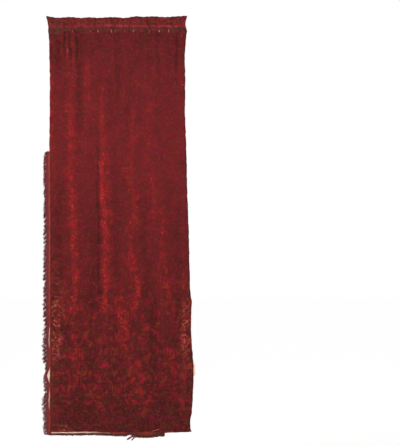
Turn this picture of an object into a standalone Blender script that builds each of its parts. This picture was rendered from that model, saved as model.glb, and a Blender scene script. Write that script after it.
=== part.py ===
"""A velvet drape: one lined panel hung flat from its top edge, with a worn fringe.

Units are metres. X runs across the panel, its front faces -Y and +Z is up. The origin is
the middle of the top edge, where the panel is held.
"""

import math
import random
from collections import namedtuple

import bmesh
import bpy
from mathutils import Vector

# Thicknesses of the cloths, and the clearance between pieces that are sewn together.
VELVET_THICK = 0.0022
HEADING_TURN_THICK = 0.0018
HEM_TURN_THICK = 0.0010
LINING_THICK = 0.0012
LINING_GAP = 0.0006
EDGE_GAP = 0.0005

# The heading: a turned-over band, a raised line of sewing and a row of pinches below it.
BAND_DEEP = 0.050
RIDGE_BELOW = 0.058
RIDGE_PROUD = 0.0025
BAND_PROUD = 0.0010
PINCH_ROW_BELOW = 0.0925
PINCH_HALF_WIDE = 0.012
PINCH_FADE = 0.13
PINCH_AT_TOP = 0.35
HEM_DEEP = 0.080
# Two depths nearer than this are the same section.
SAME = 1e-6

# One row for each section of the panel, from the top edge down: how far below the top edge
# it is, where the velvet's left and right edges are, and how far the lining passes them.
Section = namedtuple("Section", "below left right lining_left lining_right")
SECTIONS = (
    Section(0.000, -0.461, 0.463, -0.004, -0.004),
    Section(0.028, -0.454, 0.454, -0.004, -0.004),
    Section(0.050, -0.450, 0.452, -0.004, -0.004),
    Section(0.058, -0.449, 0.454, -0.004, -0.004),
    Section(0.066, -0.448, 0.457, -0.004, -0.004),
    Section(0.0925, -0.447, 0.461, -0.004, -0.004),
    Section(0.125, -0.444, 0.457, -0.004, -0.004),
    Section(0.175, -0.442, 0.454, -0.004, -0.004),
    Section(0.255, -0.440, 0.446, -0.004, -0.004),
    Section(0.400, -0.437, 0.451, -0.004, -0.004),
    Section(0.620, -0.438, 0.448, -0.004, -0.004),
    Section(0.875, -0.441, 0.458, 0.002, -0.004),
    Section(1.130, -0.440, 0.463, 0.011, -0.004),
    Section(1.380, -0.439, 0.473, 0.011, -0.004),
    Section(1.630, -0.439, 0.478, 0.011, -0.004),
    Section(1.800, -0.439, 0.483, 0.011, -0.004),
    Section(1.867, -0.439, 0.494, 0.011, -0.004),
    Section(1.945, -0.438, 0.489, 0.012, -0.004),
    Section(2.100, -0.439, 0.490, 0.012, -0.004),
    Section(2.247, -0.438, 0.502, 0.012, -0.004),
    Section(2.290, -0.438, 0.505, 0.016, 0.011),
    Section(2.340, -0.437, 0.505, 0.022, 0.012),
    Section(2.365, -0.438, 0.504, 0.022, -0.003),
    Section(2.480, -0.438, 0.501, 0.013, -0.004),
    Section(2.585, -0.439, 0.494, 0.012, -0.004),
    Section(2.645, -0.438, 0.483, 0.012, -0.004),
    Section(2.690, -0.439, 0.483, 0.012, -0.004),
    Section(2.7225, -0.441, 0.493, 0.012, -0.004),
)
HEM_BELOW = SECTIONS[-1].below
# The lining is sewn on over the turned-over velvet, from this section down.
LINING_FIRST_SECTION = 3

# Pinches along the heading, across the panel from its middle.
Pinch = namedtuple("Pinch", "across deep")
PINCHES = (
    Pinch(-0.391, 0.0045),
    Pinch(-0.332, 0.0060),
    Pinch(-0.283, 0.0055),
    Pinch(-0.227, 0.0035),
    Pinch(-0.174, 0.0055),
    Pinch(-0.122, 0.0050),
    Pinch(-0.063, 0.0035),
    Pinch(-0.004, 0.0050),
    Pinch(0.055, 0.0055),
    Pinch(0.114, 0.0040),
    Pinch(0.166, 0.0050),
    Pinch(0.216, 0.0045),
    Pinch(0.278, 0.0055),
    Pinch(0.343, 0.0050),
    Pinch(0.402, 0.0035),
)
COLUMNS_PER_PINCH = 3

# Soft vertical folds. Places and widths are shares of the panel's width, and the last three
# columns say how proud the fold stands at the heading, halfway down and at the hem.
Fold = namedtuple("Fold", "at_heading at_hem wide heading middle hem")
FOLDS = (
    Fold(0.000, 0.000, 0.070, 0.004, 0.006, 0.007),
    Fold(0.175, 0.160, 0.075, 0.008, 0.015, 0.010),
    Fold(0.405, 0.425, 0.070, 0.009, 0.020, 0.014),
    Fold(0.625, 0.650, 0.072, 0.006, 0.016, 0.015),
    Fold(0.830, 0.815, 0.062, 0.006, 0.014, 0.017),
    Fold(1.000, 1.000, 0.060, 0.005, 0.009, 0.011),
)

# How the top edge rises between its fixings, and how the hem wavers, across the panel.
Level = namedtuple("Level", "across rise")
TOP_EDGE = (
    Level(0.00, 0.0065),
    Level(0.08, -0.0033),
    Level(0.17, 0.0007),
    Level(0.25, -0.0046),
    Level(0.30, 0.0000),
    Level(0.37, -0.0046),
    Level(0.47, 0.0005),
    Level(0.50, 0.0000),
    Level(0.55, -0.0046),
    Level(0.65, 0.0065),
    Level(0.68, 0.0026),
    Level(0.75, 0.0059),
    Level(0.84, 0.0007),
    Level(0.94, 0.0065),
    Level(1.00, 0.0098),
)
HEM_EDGE = (
    Level(0.00, 0.0020),
    Level(0.15, -0.0010),
    Level(0.35, 0.0005),
    Level(0.55, -0.0020),
    Level(0.80, -0.0010),
    Level(0.92, 0.0010),
    Level(1.00, 0.0050),
)
# The lining's hem against the velvet's: it hangs lower near the left corner.
LINING_HEM = (
    Level(0.00, -0.0050),
    Level(0.03, -0.0100),
    Level(0.24, -0.0100),
    Level(0.42, -0.0030),
    Level(0.50, 0.0120),
    Level(1.00, 0.0120),
)

# The fringe: a narrow braid and the tapered locks that hang from its outer edge.
FRINGE_THICK = 0.0026
FRINGE_INTO_DEPTH = 0.0006
LOCK_WAIST = 0.6
LOCK_DEEP = 0.0042
LOCK_JITTER = 0.15
LOCK_TURN = math.radians(3.5)
LOCK_SWAY = 0.0012
# Edges that turn more sharply than this stay sharp in the shading.
SHARP_TURN = math.radians(50)

SIDE_STARTS_BELOW = 0.880
SIDE_ENDS_BELOW = HEM_BELOW - 0.004
SIDE_BRAID_WIDE = 0.016
SIDE_PITCH = 0.0123
SIDE_LOCK_WIDE = 0.0046
SIDE_ROUNDED_STEPS = 4
# Stretches of the side fringe: how far down each starts, how far the braid has come away
# from the edge, the length of its locks and how much they lean out from plumb.
SideStretch = namedtuple("SideStretch", "below away lock lean")
SIDE_STRETCHES = (
    SideStretch(0.88, 0.000, 0.014, 0.62),
    SideStretch(0.93, 0.000, 0.028, 0.62),
    SideStretch(1.30, 0.000, 0.030, 0.64),
    SideStretch(1.80, 0.000, 0.026, 0.64),
    SideStretch(1.92, 0.000, 0.030, 0.62),
    SideStretch(2.13, 0.001, 0.026, 0.62),
    SideStretch(2.17, 0.003, 0.013, 0.66),
    SideStretch(2.21, 0.001, 0.026, 0.66),
    SideStretch(2.28, 0.002, 0.018, 0.78),
    SideStretch(2.34, 0.015, 0.012, 0.82),
    SideStretch(2.38, 0.013, 0.022, 0.60),
    SideStretch(2.43, 0.001, 0.028, 0.60),
    SideStretch(2.56, 0.000, 0.030, 0.60),
    SideStretch(2.73, 0.000, 0.028, 0.60),
)

BOTTOM_STARTS = -0.4530
BOTTOM_ENDS = 0.3110
BOTTOM_BRAID_DEEP = 0.009
BOTTOM_PITCH = 0.0091
BOTTOM_LOCK_WIDE = 0.0052
# Stretches of the bottom fringe, across the panel: how far the braid hangs below the hem
# and in front of it, the length of its locks and how much they lean to the left of plumb.
BottomStretch = namedtuple("BottomStretch", "across sag ahead lock lean")
BOTTOM_STRETCHES = (
    BottomStretch(-0.455, 0.000, 0.000, 0.014, 0.34),
    BottomStretch(-0.430, 0.000, 0.000, 0.012, 0.30),
    BottomStretch(-0.405, 0.006, 0.000, 0.010, 0.28),
    BottomStretch(-0.220, 0.006, 0.000, 0.011, 0.28),
    BottomStretch(-0.170, 0.000, 0.000, 0.012, 0.26),
    BottomStretch(-0.010, 0.001, 0.000, 0.014, 0.28),
    BottomStretch(0.060, 0.002, 0.000, 0.017, 0.34),
    BottomStretch(0.070, 0.003, 0.001, 0.034, 0.42),
    BottomStretch(0.104, 0.004, 0.001, 0.031, 0.38),
    BottomStretch(0.114, 0.005, 0.002, 0.016, 0.30),
    BottomStretch(0.140, 0.010, 0.004, 0.018, 0.26),
    BottomStretch(0.215, 0.012, 0.006, 0.019, 0.22),
    BottomStretch(0.260, 0.004, 0.005, 0.016, 0.26),
    BottomStretch(0.300, 0.001, 0.003, 0.013, 0.30),
    BottomStretch(0.311, 0.000, 0.003, 0.014, 0.34),
)


def clear_scene():
    for item in list(bpy.data.objects):
        bpy.data.objects.remove(item, do_unlink=True)


def between(low, high, share):
    return low + (high - low) * share


def along(table, key, at):
    """The row of a table at a place between its own rows, its first column being the place."""
    rows = [tuple(row) for row in table]
    at = min(max(at, rows[0][0]), rows[-1][0])
    for above, below in zip(rows, rows[1:]):
        if at <= below[0]:
            share = (at - above[0]) / (below[0] - above[0])
            return key(*(between(a, b, share) for a, b in zip(above, below)))
    return key(*rows[-1])


def level(table, across):
    """How far an edge rises at a share of the width, eased between its rows."""
    for left, right in zip(table, table[1:]):
        if across <= right.across:
            share = (across - left.across) / (right.across - left.across)
            eased = share * share * (3 - 2 * share)
            return between(left.rise, right.rise, eased)
    return table[-1].rise


def columns():
    """Shares of the width, with a column in each pinch and even ones between pinches."""
    row = along(SECTIONS, Section, PINCH_ROW_BELOW)
    stops = [0.0]
    stops += [(pinch.across - row.left) / (row.right - row.left) for pinch in PINCHES]
    stops += [1.0]
    shares = []
    for left, right in zip(stops, stops[1:]):
        shares += [between(left, right, i / COLUMNS_PER_PINCH) for i in range(COLUMNS_PER_PINCH)]
    return shares + [1.0]


def fold_height(across, below):
    """How far the folds bring the cloth forward."""
    down = below / HEM_BELOW
    height = 0.0
    for fold in FOLDS:
        centre = between(fold.at_heading, fold.at_hem, down)
        upper = fold.heading * (1 - down) * (1 - 2 * down)
        middle = fold.middle * 4 * down * (1 - down)
        lower = fold.hem * down * (2 * down - 1)
        height += (upper + middle + lower) * math.exp(-(((across - centre) / fold.wide) ** 2))
    return height


def pinch_depth(across, below):
    """How far the pinches draw the cloth back: most at their row, less above and below it."""
    row = along(SECTIONS, Section, PINCH_ROW_BELOW)
    if below < PINCH_ROW_BELOW:
        strength = between(PINCH_AT_TOP, 1.0, below / PINCH_ROW_BELOW)
    else:
        strength = math.exp(-(((below - PINCH_ROW_BELOW) / PINCH_FADE) ** 2))
    depth = 0.0
    for pinch in PINCHES:
        centre = (pinch.across - row.left) / (row.right - row.left)
        depth += pinch.deep * math.exp(-(((across - centre) / PINCH_HALF_WIDE) ** 2))
    return depth * strength


def heading_relief(below):
    """The raised line of sewing and the turned-over band above it."""
    if abs(below - RIDGE_BELOW) < SAME:
        return RIDGE_PROUD
    if below < BAND_DEEP + SAME:
        return BAND_PROUD
    return 0.0


def turned_thickness(below):
    """The second layer of velvet behind the heading and the hem."""
    if below < PINCH_ROW_BELOW + SAME:
        return HEADING_TURN_THICK
    if below > HEM_BELOW - HEM_DEEP:
        return HEM_TURN_THICK
    return 0.0


def height_at(across, below):
    """The height of a point of the velvet, with its wavering top edge and hem."""
    if below < BAND_DEEP:
        return -below + level(TOP_EDGE, across) * (1 - below / BAND_DEEP)
    if below >= HEM_BELOW:
        return -below + level(HEM_EDGE, across)
    return -below


def velvet_grids():
    """Rows of points on the front and the back of the velvet, from the top down."""
    shares = columns()
    front, back = [], []
    for section in SECTIONS:
        front_row, back_row = [], []
        for across in shares:
            x = between(section.left, section.right, across)
            z = height_at(across, section.below)
            surface = pinch_depth(across, section.below) - fold_height(across, section.below)
            front_row.append(Vector((x, surface - heading_relief(section.below), z)))
            thick = VELVET_THICK + turned_thickness(section.below)
            back_row.append(Vector((x, surface + thick, z)))
        front.append(front_row)
        back.append(back_row)
    return front, back


def lining_grids(velvet_back):
    """Rows of points on the front and the back of the lining, on the velvet's own folds."""
    rows = [[point + Vector((0, LINING_GAP, 0)) for point in row] for row in velvet_back]
    hem = []
    for above, point, across in zip(rows[-2], rows[-1], columns()):
        past_hem = 1 - level(LINING_HEM, across) / (above.z - point.z)
        hem.append(above.lerp(point, past_hem))
    rows[-1] = hem
    for section, row in zip(SECTIONS, rows):
        row[0].x -= section.lining_left
        row[-1].x += section.lining_right
    front = rows[LINING_FIRST_SECTION:]
    back = [[point + Vector((0, LINING_THICK, 0)) for point in row] for row in front]
    return front, back


def material(name, colour, roughness):
    made = bpy.data.materials.new(name)
    made.use_nodes = True
    shader = made.node_tree.nodes["Principled BSDF"]
    shader.inputs["Base Color"].default_value = (*colour, 1.0)
    shader.inputs["Roughness"].default_value = roughness
    shader.inputs["Metallic"].default_value = 0.0
    return made


def finish_object(name, bm, look):
    """Turns a closed bmesh into a named object with smooth shading."""
    bmesh.ops.recalc_face_normals(bm, faces=bm.faces)
    mesh = bpy.data.meshes.new(name)
    bm.to_mesh(mesh)
    bm.free()
    mesh.materials.append(look)
    mesh.shade_smooth()
    mesh.set_sharp_from_angle(angle=SHARP_TURN)
    made = bpy.data.objects.new(name, mesh)
    bpy.context.scene.collection.objects.link(made)
    return made


def quad(bm, a, b, c, d):
    """Two triangles that share the line from a to c."""
    bm.faces.new((a, b, c))
    bm.faces.new((a, c, d))


def sheet(name, front, back, look):
    """A closed sheet between two grids of points, with the same diagonals on both sides."""
    bm = bmesh.new()
    f = [[bm.verts.new(point) for point in row] for row in front]
    b = [[bm.verts.new(point) for point in row] for row in back]
    last_row, last_column = len(f) - 1, len(f[0]) - 1
    for r in range(last_row):
        for c in range(last_column):
            quad(bm, f[r][c], f[r + 1][c], f[r + 1][c + 1], f[r][c + 1])
            quad(bm, b[r + 1][c + 1], b[r + 1][c], b[r][c], b[r][c + 1])
    for r in range(last_row):
        quad(bm, f[r][0], b[r][0], b[r + 1][0], f[r + 1][0])
        quad(bm, f[r][-1], f[r + 1][-1], b[r + 1][-1], b[r][-1])
    for c in range(last_column):
        quad(bm, f[0][c], f[0][c + 1], b[0][c + 1], b[0][c])
        quad(bm, f[-1][c], b[-1][c], b[-1][c + 1], f[-1][c + 1])
    return finish_object(name, bm, look)


def fringe(name, stations, locks, lock_wide, look):
    """A braid through its stations, with one tapered lock between each two of them.

    A station is the braid's inner and outer edge point, and a lock its way and its length.
    """
    bm = bmesh.new()
    half = Vector((0, FRINGE_THICK / 2, 0))
    rings = []
    for inner, outer in stations:
        corners = (inner - half, outer - half, outer + half, inner + half)
        rings.append([bm.verts.new(point) for point in corners])
    quad(bm, *rings[0])
    quad(bm, *reversed(rings[-1]))
    for i, (way, long) in enumerate(locks):
        near, far = rings[i], rings[i + 1]
        for side in (0, 2, 3):
            after = (side + 1) % 4
            quad(bm, near[side], near[after], far[after], far[side])
        middle = (stations[i][1] + stations[i + 1][1]) / 2
        towards_near = (stations[i][1] - stations[i + 1][1]).normalized()
        across = (towards_near - way * towards_near.dot(way)).normalized() * lock_wide / 2
        deep = Vector((0, LOCK_DEEP / 2, 0))
        waist = middle + way * long * LOCK_WAIST
        upper, lower = waist + across, waist - across
        ring = [bm.verts.new(point) for point in (upper - deep, lower - deep, lower + deep, upper + deep)]
        root = (near[1], far[1], far[2], near[2])
        tip = bm.verts.new(middle + way * long)
        for side in range(4):
            after = (side + 1) % 4
            quad(bm, root[side], root[after], ring[after], ring[side])
            bm.faces.new((ring[side], ring[after], tip))
    return finish_object(name, bm, look)


def lock_way(lean, turn, sway, long):
    """The direction of a lock that leans to the left of plumb."""
    angle = math.asin(lean) + turn
    return Vector((-math.sin(angle), sway / long, -math.cos(angle))).normalized()


def ragged_lock(chance, lean, long):
    """One lock's way and length, a little uneven."""
    long *= 1 + LOCK_JITTER * chance.uniform(-1, 1)
    turn = LOCK_TURN * chance.uniform(-1, 1)
    return lock_way(lean, turn, LOCK_SWAY * chance.uniform(-1, 1), long), long


def point_down_edge(edge, below):
    """A point on the velvet's left edge, on the straight line between two sections."""
    for upper, lower in zip(edge, edge[1:]):
        if lower.z <= -below:
            return upper.lerp(lower, (upper.z + below) / (upper.z - lower.z))
    return edge[-1]


def point_along_hem(hem, x):
    """A point on the velvet's hem, on the straight line between two columns."""
    for left, right in zip(hem, hem[1:]):
        if x <= right.x:
            return left.lerp(right, (x - left.x) / (right.x - left.x))
    return hem[-1]


def side_fringe(edge, look):
    """The fringe down the left edge."""
    chance = random.Random(11)
    long = SIDE_ENDS_BELOW - SIDE_STARTS_BELOW
    steps = round(long / SIDE_PITCH)
    stations, locks = [], []
    for i in range(steps + 1):
        below = SIDE_STARTS_BELOW + long * i / steps
        stretch = along(SIDE_STRETCHES, SideStretch, below)
        point = point_down_edge(edge, below)
        rounded = math.sqrt(min(1.0, (i + 0.6) / SIDE_ROUNDED_STEPS))
        y = point.y + FRINGE_INTO_DEPTH
        inner = Vector((point.x - EDGE_GAP - stretch.away, y, -below))
        outer = inner - Vector((SIDE_BRAID_WIDE * rounded, 0, 0))
        stations.append((inner, outer))
        if i < steps:
            stretch = along(SIDE_STRETCHES, SideStretch, below + long / steps / 2)
            locks.append(ragged_lock(chance, stretch.lean, stretch.lock))
    return fringe("side_fringe", stations, locks, SIDE_LOCK_WIDE, look)


def bottom_fringe(hem, look):
    """The fringe under the hem, from the lower left corner to its torn end."""
    chance = random.Random(23)
    long = BOTTOM_ENDS - BOTTOM_STARTS
    steps = round(long / BOTTOM_PITCH)
    stations, locks = [], []
    for i in range(steps + 1):
        x = BOTTOM_STARTS + long * i / steps
        stretch = along(BOTTOM_STRETCHES, BottomStretch, x)
        point = point_along_hem(hem, max(x, hem[0].x))
        y = point.y + FRINGE_INTO_DEPTH - stretch.ahead
        inner = Vector((x, y, point.z - EDGE_GAP - stretch.sag))
        outer = inner - Vector((0, 0, BOTTOM_BRAID_DEEP))
        stations.append((inner, outer))
        if i < steps:
            stretch = along(BOTTOM_STRETCHES, BottomStretch, x + long / steps / 2)
            locks.append(ragged_lock(chance, stretch.lean, stretch.lock))
    return fringe("bottom_fringe", stations, locks, BOTTOM_LOCK_WIDE, look)


def build():
    clear_scene()
    velvet_look = material("crimson_velvet", (0.158, 0.017, 0.018), 0.85)
    lining_look = material("cream_lining", (0.600, 0.440, 0.320), 0.90)
    fringe_look = material("brown_fringe", (0.110, 0.045, 0.040), 0.80)
    front, back = velvet_grids()
    sheet("velvet_panel", front, back, velvet_look)
    sheet("lining", *lining_grids(back), lining_look)
    side_fringe([row[0] for row in front], fringe_look)
    bottom_fringe(front[-1], fringe_look)


build()
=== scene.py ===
"""The looks of the velvet drape: worn patterned velvet, its lining and its brown fringe.

Metres, in the frame of the solids: X across, the front faces -Y, +Z up, and the origin in
the middle of the top edge. A place on the cloth is given by across, its share of the width
from the left edge, and below, how far down it is from the top edge.
"""

import math
from collections import namedtuple

import bpy
import numpy as np
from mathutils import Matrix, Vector


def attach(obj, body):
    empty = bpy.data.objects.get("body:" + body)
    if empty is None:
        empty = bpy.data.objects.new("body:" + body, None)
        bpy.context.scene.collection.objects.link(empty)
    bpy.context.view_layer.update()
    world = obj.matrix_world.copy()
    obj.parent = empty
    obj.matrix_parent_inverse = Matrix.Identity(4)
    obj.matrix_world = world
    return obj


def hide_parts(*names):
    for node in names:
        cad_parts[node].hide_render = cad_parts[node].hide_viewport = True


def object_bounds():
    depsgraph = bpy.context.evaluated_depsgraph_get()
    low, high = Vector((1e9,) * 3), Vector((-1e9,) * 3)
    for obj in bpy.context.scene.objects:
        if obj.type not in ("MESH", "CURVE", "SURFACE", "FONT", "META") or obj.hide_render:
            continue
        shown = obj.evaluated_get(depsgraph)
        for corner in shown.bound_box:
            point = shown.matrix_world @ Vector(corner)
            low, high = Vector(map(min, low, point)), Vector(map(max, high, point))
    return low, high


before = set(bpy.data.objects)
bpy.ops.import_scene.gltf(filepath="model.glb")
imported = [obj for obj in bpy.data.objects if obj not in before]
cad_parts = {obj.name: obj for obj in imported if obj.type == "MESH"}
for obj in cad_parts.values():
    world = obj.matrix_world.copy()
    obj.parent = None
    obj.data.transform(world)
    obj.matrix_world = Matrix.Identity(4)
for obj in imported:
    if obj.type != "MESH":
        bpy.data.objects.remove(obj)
cad_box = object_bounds()


def rows_of(columns, *rows):
    """A table whose rows are read by the names of its columns."""
    kind = namedtuple("Row", columns)
    return tuple(kind(*row) for row in rows)


# The picture: how much it takes in at the drape, and where its middle is.
PICTURE_HIGH = 2.924
PICTURE_MIDDLE = (0.547, -1.349)
CAMERA_AWAY = 12.0
SENSOR_MM = 36.0
FLOOR_BELOW_DRAPE = 0.30

# The form of the cloth, as in the solids.
SECTIONS = rows_of(
    "below left right lining_left lining_right",
    (0.000, -0.461, 0.463, -0.004, -0.004),
    (0.028, -0.454, 0.454, -0.004, -0.004),
    (0.050, -0.450, 0.452, -0.004, -0.004),
    (0.066, -0.448, 0.457, -0.004, -0.004),
    (0.0925, -0.447, 0.461, -0.004, -0.004),
    (0.125, -0.444, 0.457, -0.004, -0.004),
    (0.175, -0.442, 0.454, -0.004, -0.004),
    (0.255, -0.440, 0.446, -0.004, -0.004),
    (0.400, -0.437, 0.451, -0.004, -0.004),
    (0.620, -0.438, 0.448, -0.004, -0.004),
    (0.875, -0.441, 0.458, 0.002, -0.004),
    (1.130, -0.440, 0.463, 0.011, -0.004),
    (1.380, -0.439, 0.473, 0.011, -0.004),
    (1.630, -0.439, 0.478, 0.011, -0.004),
    (1.800, -0.439, 0.483, 0.011, -0.004),
    (1.867, -0.439, 0.494, 0.011, -0.004),
    (1.945, -0.438, 0.489, 0.012, -0.004),
    (2.100, -0.439, 0.490, 0.012, -0.004),
    (2.247, -0.438, 0.502, 0.012, -0.004),
    (2.290, -0.438, 0.505, 0.016, 0.011),
    (2.340, -0.437, 0.505, 0.024, 0.012),
    (2.365, -0.438, 0.504, 0.024, -0.003),
    (2.480, -0.438, 0.501, 0.013, -0.004),
    (2.585, -0.439, 0.494, 0.012, -0.004),
    (2.645, -0.438, 0.483, 0.012, -0.004),
    (2.690, -0.439, 0.483, 0.012, -0.004),
    (2.7225, -0.441, 0.493, 0.012, -0.004),
)
HEM_BELOW = SECTIONS[-1].below
PINCH_ROW_BELOW = 0.0925
PINCH_HALF_WIDE = 0.012
PINCH_FADE = 0.13
PINCH_AT_TOP = 0.35
PINCHES = rows_of(
    "across deep",
    (-0.391, 0.0045), (-0.332, 0.0060), (-0.283, 0.0055), (-0.227, 0.0035),
    (-0.174, 0.0055), (-0.122, 0.0050), (-0.063, 0.0035), (-0.004, 0.0050),
    (0.055, 0.0055), (0.114, 0.0040), (0.166, 0.0050), (0.216, 0.0045),
    (0.278, 0.0055), (0.343, 0.0050), (0.402, 0.0035),
)
FOLDS = rows_of(
    "at_heading at_hem wide heading middle hem",
    (0.000, 0.000, 0.070, 0.004, 0.006, 0.007),
    (0.175, 0.160, 0.075, 0.008, 0.015, 0.010),
    (0.405, 0.425, 0.070, 0.009, 0.020, 0.014),
    (0.625, 0.650, 0.072, 0.006, 0.016, 0.015),
    (0.830, 0.815, 0.062, 0.006, 0.014, 0.017),
    (1.000, 1.000, 0.060, 0.005, 0.009, 0.011),
)
TOP_EDGE = rows_of(
    "across rise",
    (0.00, 0.0065), (0.08, -0.0033), (0.17, 0.0007), (0.25, -0.0046),
    (0.30, 0.0000), (0.37, -0.0046), (0.47, 0.0005), (0.50, 0.0000),
    (0.55, -0.0046), (0.65, 0.0065), (0.68, 0.0026), (0.75, 0.0059),
    (0.84, 0.0007), (0.94, 0.0065), (1.00, 0.0098),
)
HEM_EDGE = rows_of(
    "across rise",
    (0.00, 0.0010), (0.03, 0.0030), (0.24, 0.0050), (0.33, 0.0060),
    (0.39, 0.0010), (0.55, 0.0005), (0.71, 0.0020), (0.80, -0.0010),
    (0.92, 0.0010), (1.00, 0.0050),
)
LINING_HEM = rows_of(
    "across rise",
    (0.00, -0.0040), (0.03, -0.0105), (0.24, -0.0115), (0.28, -0.0065),
    (0.33, -0.0085), (0.38, -0.0080), (0.43, -0.0080), (0.46, 0.0040),
    (0.50, 0.0120), (1.00, 0.0120),
)
HEADING_DEEP = 0.050
HEM_DEEP = 0.080

# Small creases of the velvet and its lining: where each starts and ends down the cloth,
# where it is across it at each end, its half width as a share, and how proud it stands.
CREASES = rows_of(
    "start end at_start at_end wide proud",
    (0.06, 0.30, 0.052, 0.046, 0.008, 0.0020),
    (0.08, 0.34, 0.098, 0.092, 0.007, 0.0016),
    (0.07, 0.42, 0.134, 0.130, 0.008, 0.0030),
    (0.07, 0.36, 0.181, 0.176, 0.008, 0.0030),
    (0.08, 0.32, 0.220, 0.224, 0.007, 0.0024),
    (0.10, 0.62, 0.285, 0.300, 0.010, 0.0020),
    (0.12, 0.48, 0.345, 0.338, 0.010, 0.0018),
    (0.10, 0.55, 0.470, 0.480, 0.012, 0.0018),
    (0.10, 0.40, 0.560, 0.552, 0.010, 0.0014),
    (0.09, 0.70, 0.720, 0.700, 0.013, 0.0020),
    (0.10, 0.45, 0.850, 0.862, 0.010, 0.0016),
    (0.10, 0.55, 0.955, 0.965, 0.010, 0.0020),
    (0.45, 1.45, 0.378, 0.384, 0.011, 0.0030),
    (0.40, 1.10, 0.152, 0.160, 0.013, 0.0024),
    (1.00, 1.95, 0.160, 0.172, 0.013, 0.0028),
    (1.30, 2.10, 0.392, 0.402, 0.013, 0.0028),
    (0.50, 1.40, 0.612, 0.600, 0.013, 0.0022),
    (1.20, 2.20, 0.560, 0.620, 0.014, 0.0020),
    (0.90, 1.60, 0.752, 0.770, 0.015, 0.0022),
    (1.40, 2.20, 0.790, 0.800, 0.013, 0.0024),
    (0.20, 1.00, 0.270, 0.264, 0.013, 0.0016),
    (1.60, 2.50, 0.300, 0.285, 0.014, -0.0022),
    (1.75, 2.65, 0.735, 0.725, 0.013, -0.0024),
    (1.80, 2.70, 0.945, 0.935, 0.012, 0.0030),
    (2.30, 2.74, 0.060, 0.040, 0.014, 0.0024),
    (2.40, 2.74, 0.520, 0.540, 0.018, -0.0020),
)

# Where the pile is rubbed and a painted highlight lies along the crests, in metres across
# the hung cloth, and where painted shade lies dark between them.
RUBBED_AND_HIGHLIT = rows_of(
    "start end at_start at_end wide amount",
    (0.08, 0.36, -0.323, -0.321, 0.010, 0.34),
    (0.08, 0.34, -0.284, -0.283, 0.010, 0.34),
    (0.09, 0.30, -0.244, -0.242, 0.010, 0.26),
    (0.20, 0.60, -0.300, -0.300, 0.040, 0.36),
    (0.50, 1.00, -0.304, -0.296, 0.032, 0.62),
    (0.70, 1.55, -0.300, -0.288, 0.046, 0.45),
    (0.90, 1.50, -0.296, -0.288, 0.022, 0.85),
    (1.35, 1.62, -0.284, -0.262, 0.024, 0.95),
    (1.55, 2.02, -0.262, -0.286, 0.026, 0.75),
    (0.38, 0.95, -0.092, -0.092, 0.018, 0.65),
    (0.80, 1.40, -0.094, -0.088, 0.017, 1.05),
    (0.75, 1.90, -0.072, -0.058, 0.036, 0.55),
    (1.15, 1.62, -0.082, -0.068, 0.022, 0.95),
    (1.50, 1.98, -0.072, -0.078, 0.024, 0.90),
    (0.55, 1.10, 0.110, 0.070, 0.036, 0.42),
    (0.93, 1.24, 0.030, 0.136, 0.024, 0.60),
    (1.10, 1.44, 0.134, 0.098, 0.026, 0.65),
    (1.30, 1.62, 0.100, 0.088, 0.028, 0.42),
    (1.50, 1.80, 0.078, 0.156, 0.026, 0.90),
    (1.68, 1.96, 0.156, 0.104, 0.024, 0.85),
    (1.54, 1.68, 0.030, 0.120, 0.024, 0.60),
    (0.35, 1.10, 0.205, 0.222, 0.034, 0.36),
    (0.95, 1.40, 0.215, 0.240, 0.030, 0.45),
    (1.15, 1.70, 0.290, 0.300, 0.024, 0.45),
    (1.45, 1.95, 0.312, 0.340, 0.022, 0.55),
    (0.18, 1.20, -0.430, -0.424, 0.020, 0.50),
    (0.25, 0.62, -0.196, -0.188, 0.030, 0.38),
    (1.70, 2.25, 0.022, 0.050, 0.044, 0.60),
    (1.95, 2.40, -0.278, -0.256, 0.040, 0.38),
    (2.10, 2.62, 0.070, 0.110, 0.034, 0.42),
    (2.20, 2.60, 0.130, 0.180, 0.026, 0.42),
    (2.10, 2.50, 0.330, 0.385, 0.030, 0.40),
    (2.25, 2.62, -0.120, -0.090, 0.034, 0.32),
)
# Painted shade: dark streaks in the valleys between the crests and between the small gathers.
SHADED = rows_of(
    "start end at_start at_end wide amount",
    (0.07, 0.30, -0.340, -0.336, 0.009, 0.70),
    (0.07, 0.34, -0.307, -0.304, 0.010, 0.85),
    (0.07, 0.32, -0.261, -0.261, 0.011, 0.90),
    (0.08, 0.42, -0.400, -0.372, 0.026, 0.60),
    (0.12, 0.80, -0.238, -0.248, 0.022, 0.35),
    (0.90, 1.95, -0.380, -0.376, 0.030, 0.42),
    (0.70, 1.95, -0.126, -0.114, 0.012, 0.80),
    (1.15, 2.00, -0.150, -0.156, 0.034, 0.36),
    (0.95, 1.90, -0.018, 0.012, 0.020, 0.30),
    (0.30, 0.95, 0.075, 0.080, 0.018, 0.30),
    (1.20, 2.00, 0.180, 0.196, 0.024, 0.34),
    (1.75, 2.45, 0.235, 0.250, 0.026, 0.40),
    (1.15, 2.20, 0.400, 0.412, 0.022, 0.36),
    (1.95, 2.20, -0.345, -0.325, 0.024, 0.55),
    (2.35, 2.65, -0.236, -0.222, 0.026, 0.35),
    (0.06, 0.42, 0.268, 0.272, 0.014, 0.60),
    (0.06, 0.46, 0.390, 0.394, 0.011, 0.65),
    (0.10, 0.60, 0.010, 0.014, 0.024, 0.30),
)

# How light the pile is down the panel, from 0 for the darkest to 1 for the lightest:
# darker towards the hem, with painted shadow in the band under the raised line of sewing.
TONES_WITH_PAINTED_SHADOW = rows_of(
    "below light",
    (0.000, 0.36), (0.012, 0.42), (0.045, 0.46), (0.060, 0.50), (0.074, 0.16),
    (0.088, 0.14), (0.105, 0.24), (0.180, 0.27), (0.380, 0.37), (0.580, 0.40),
    (0.900, 0.44), (1.100, 0.38), (1.400, 0.32), (1.700, 0.26), (2.000, 0.18),
    (2.300, 0.12), (2.550, 0.07), (2.740, 0.02),
)

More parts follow.
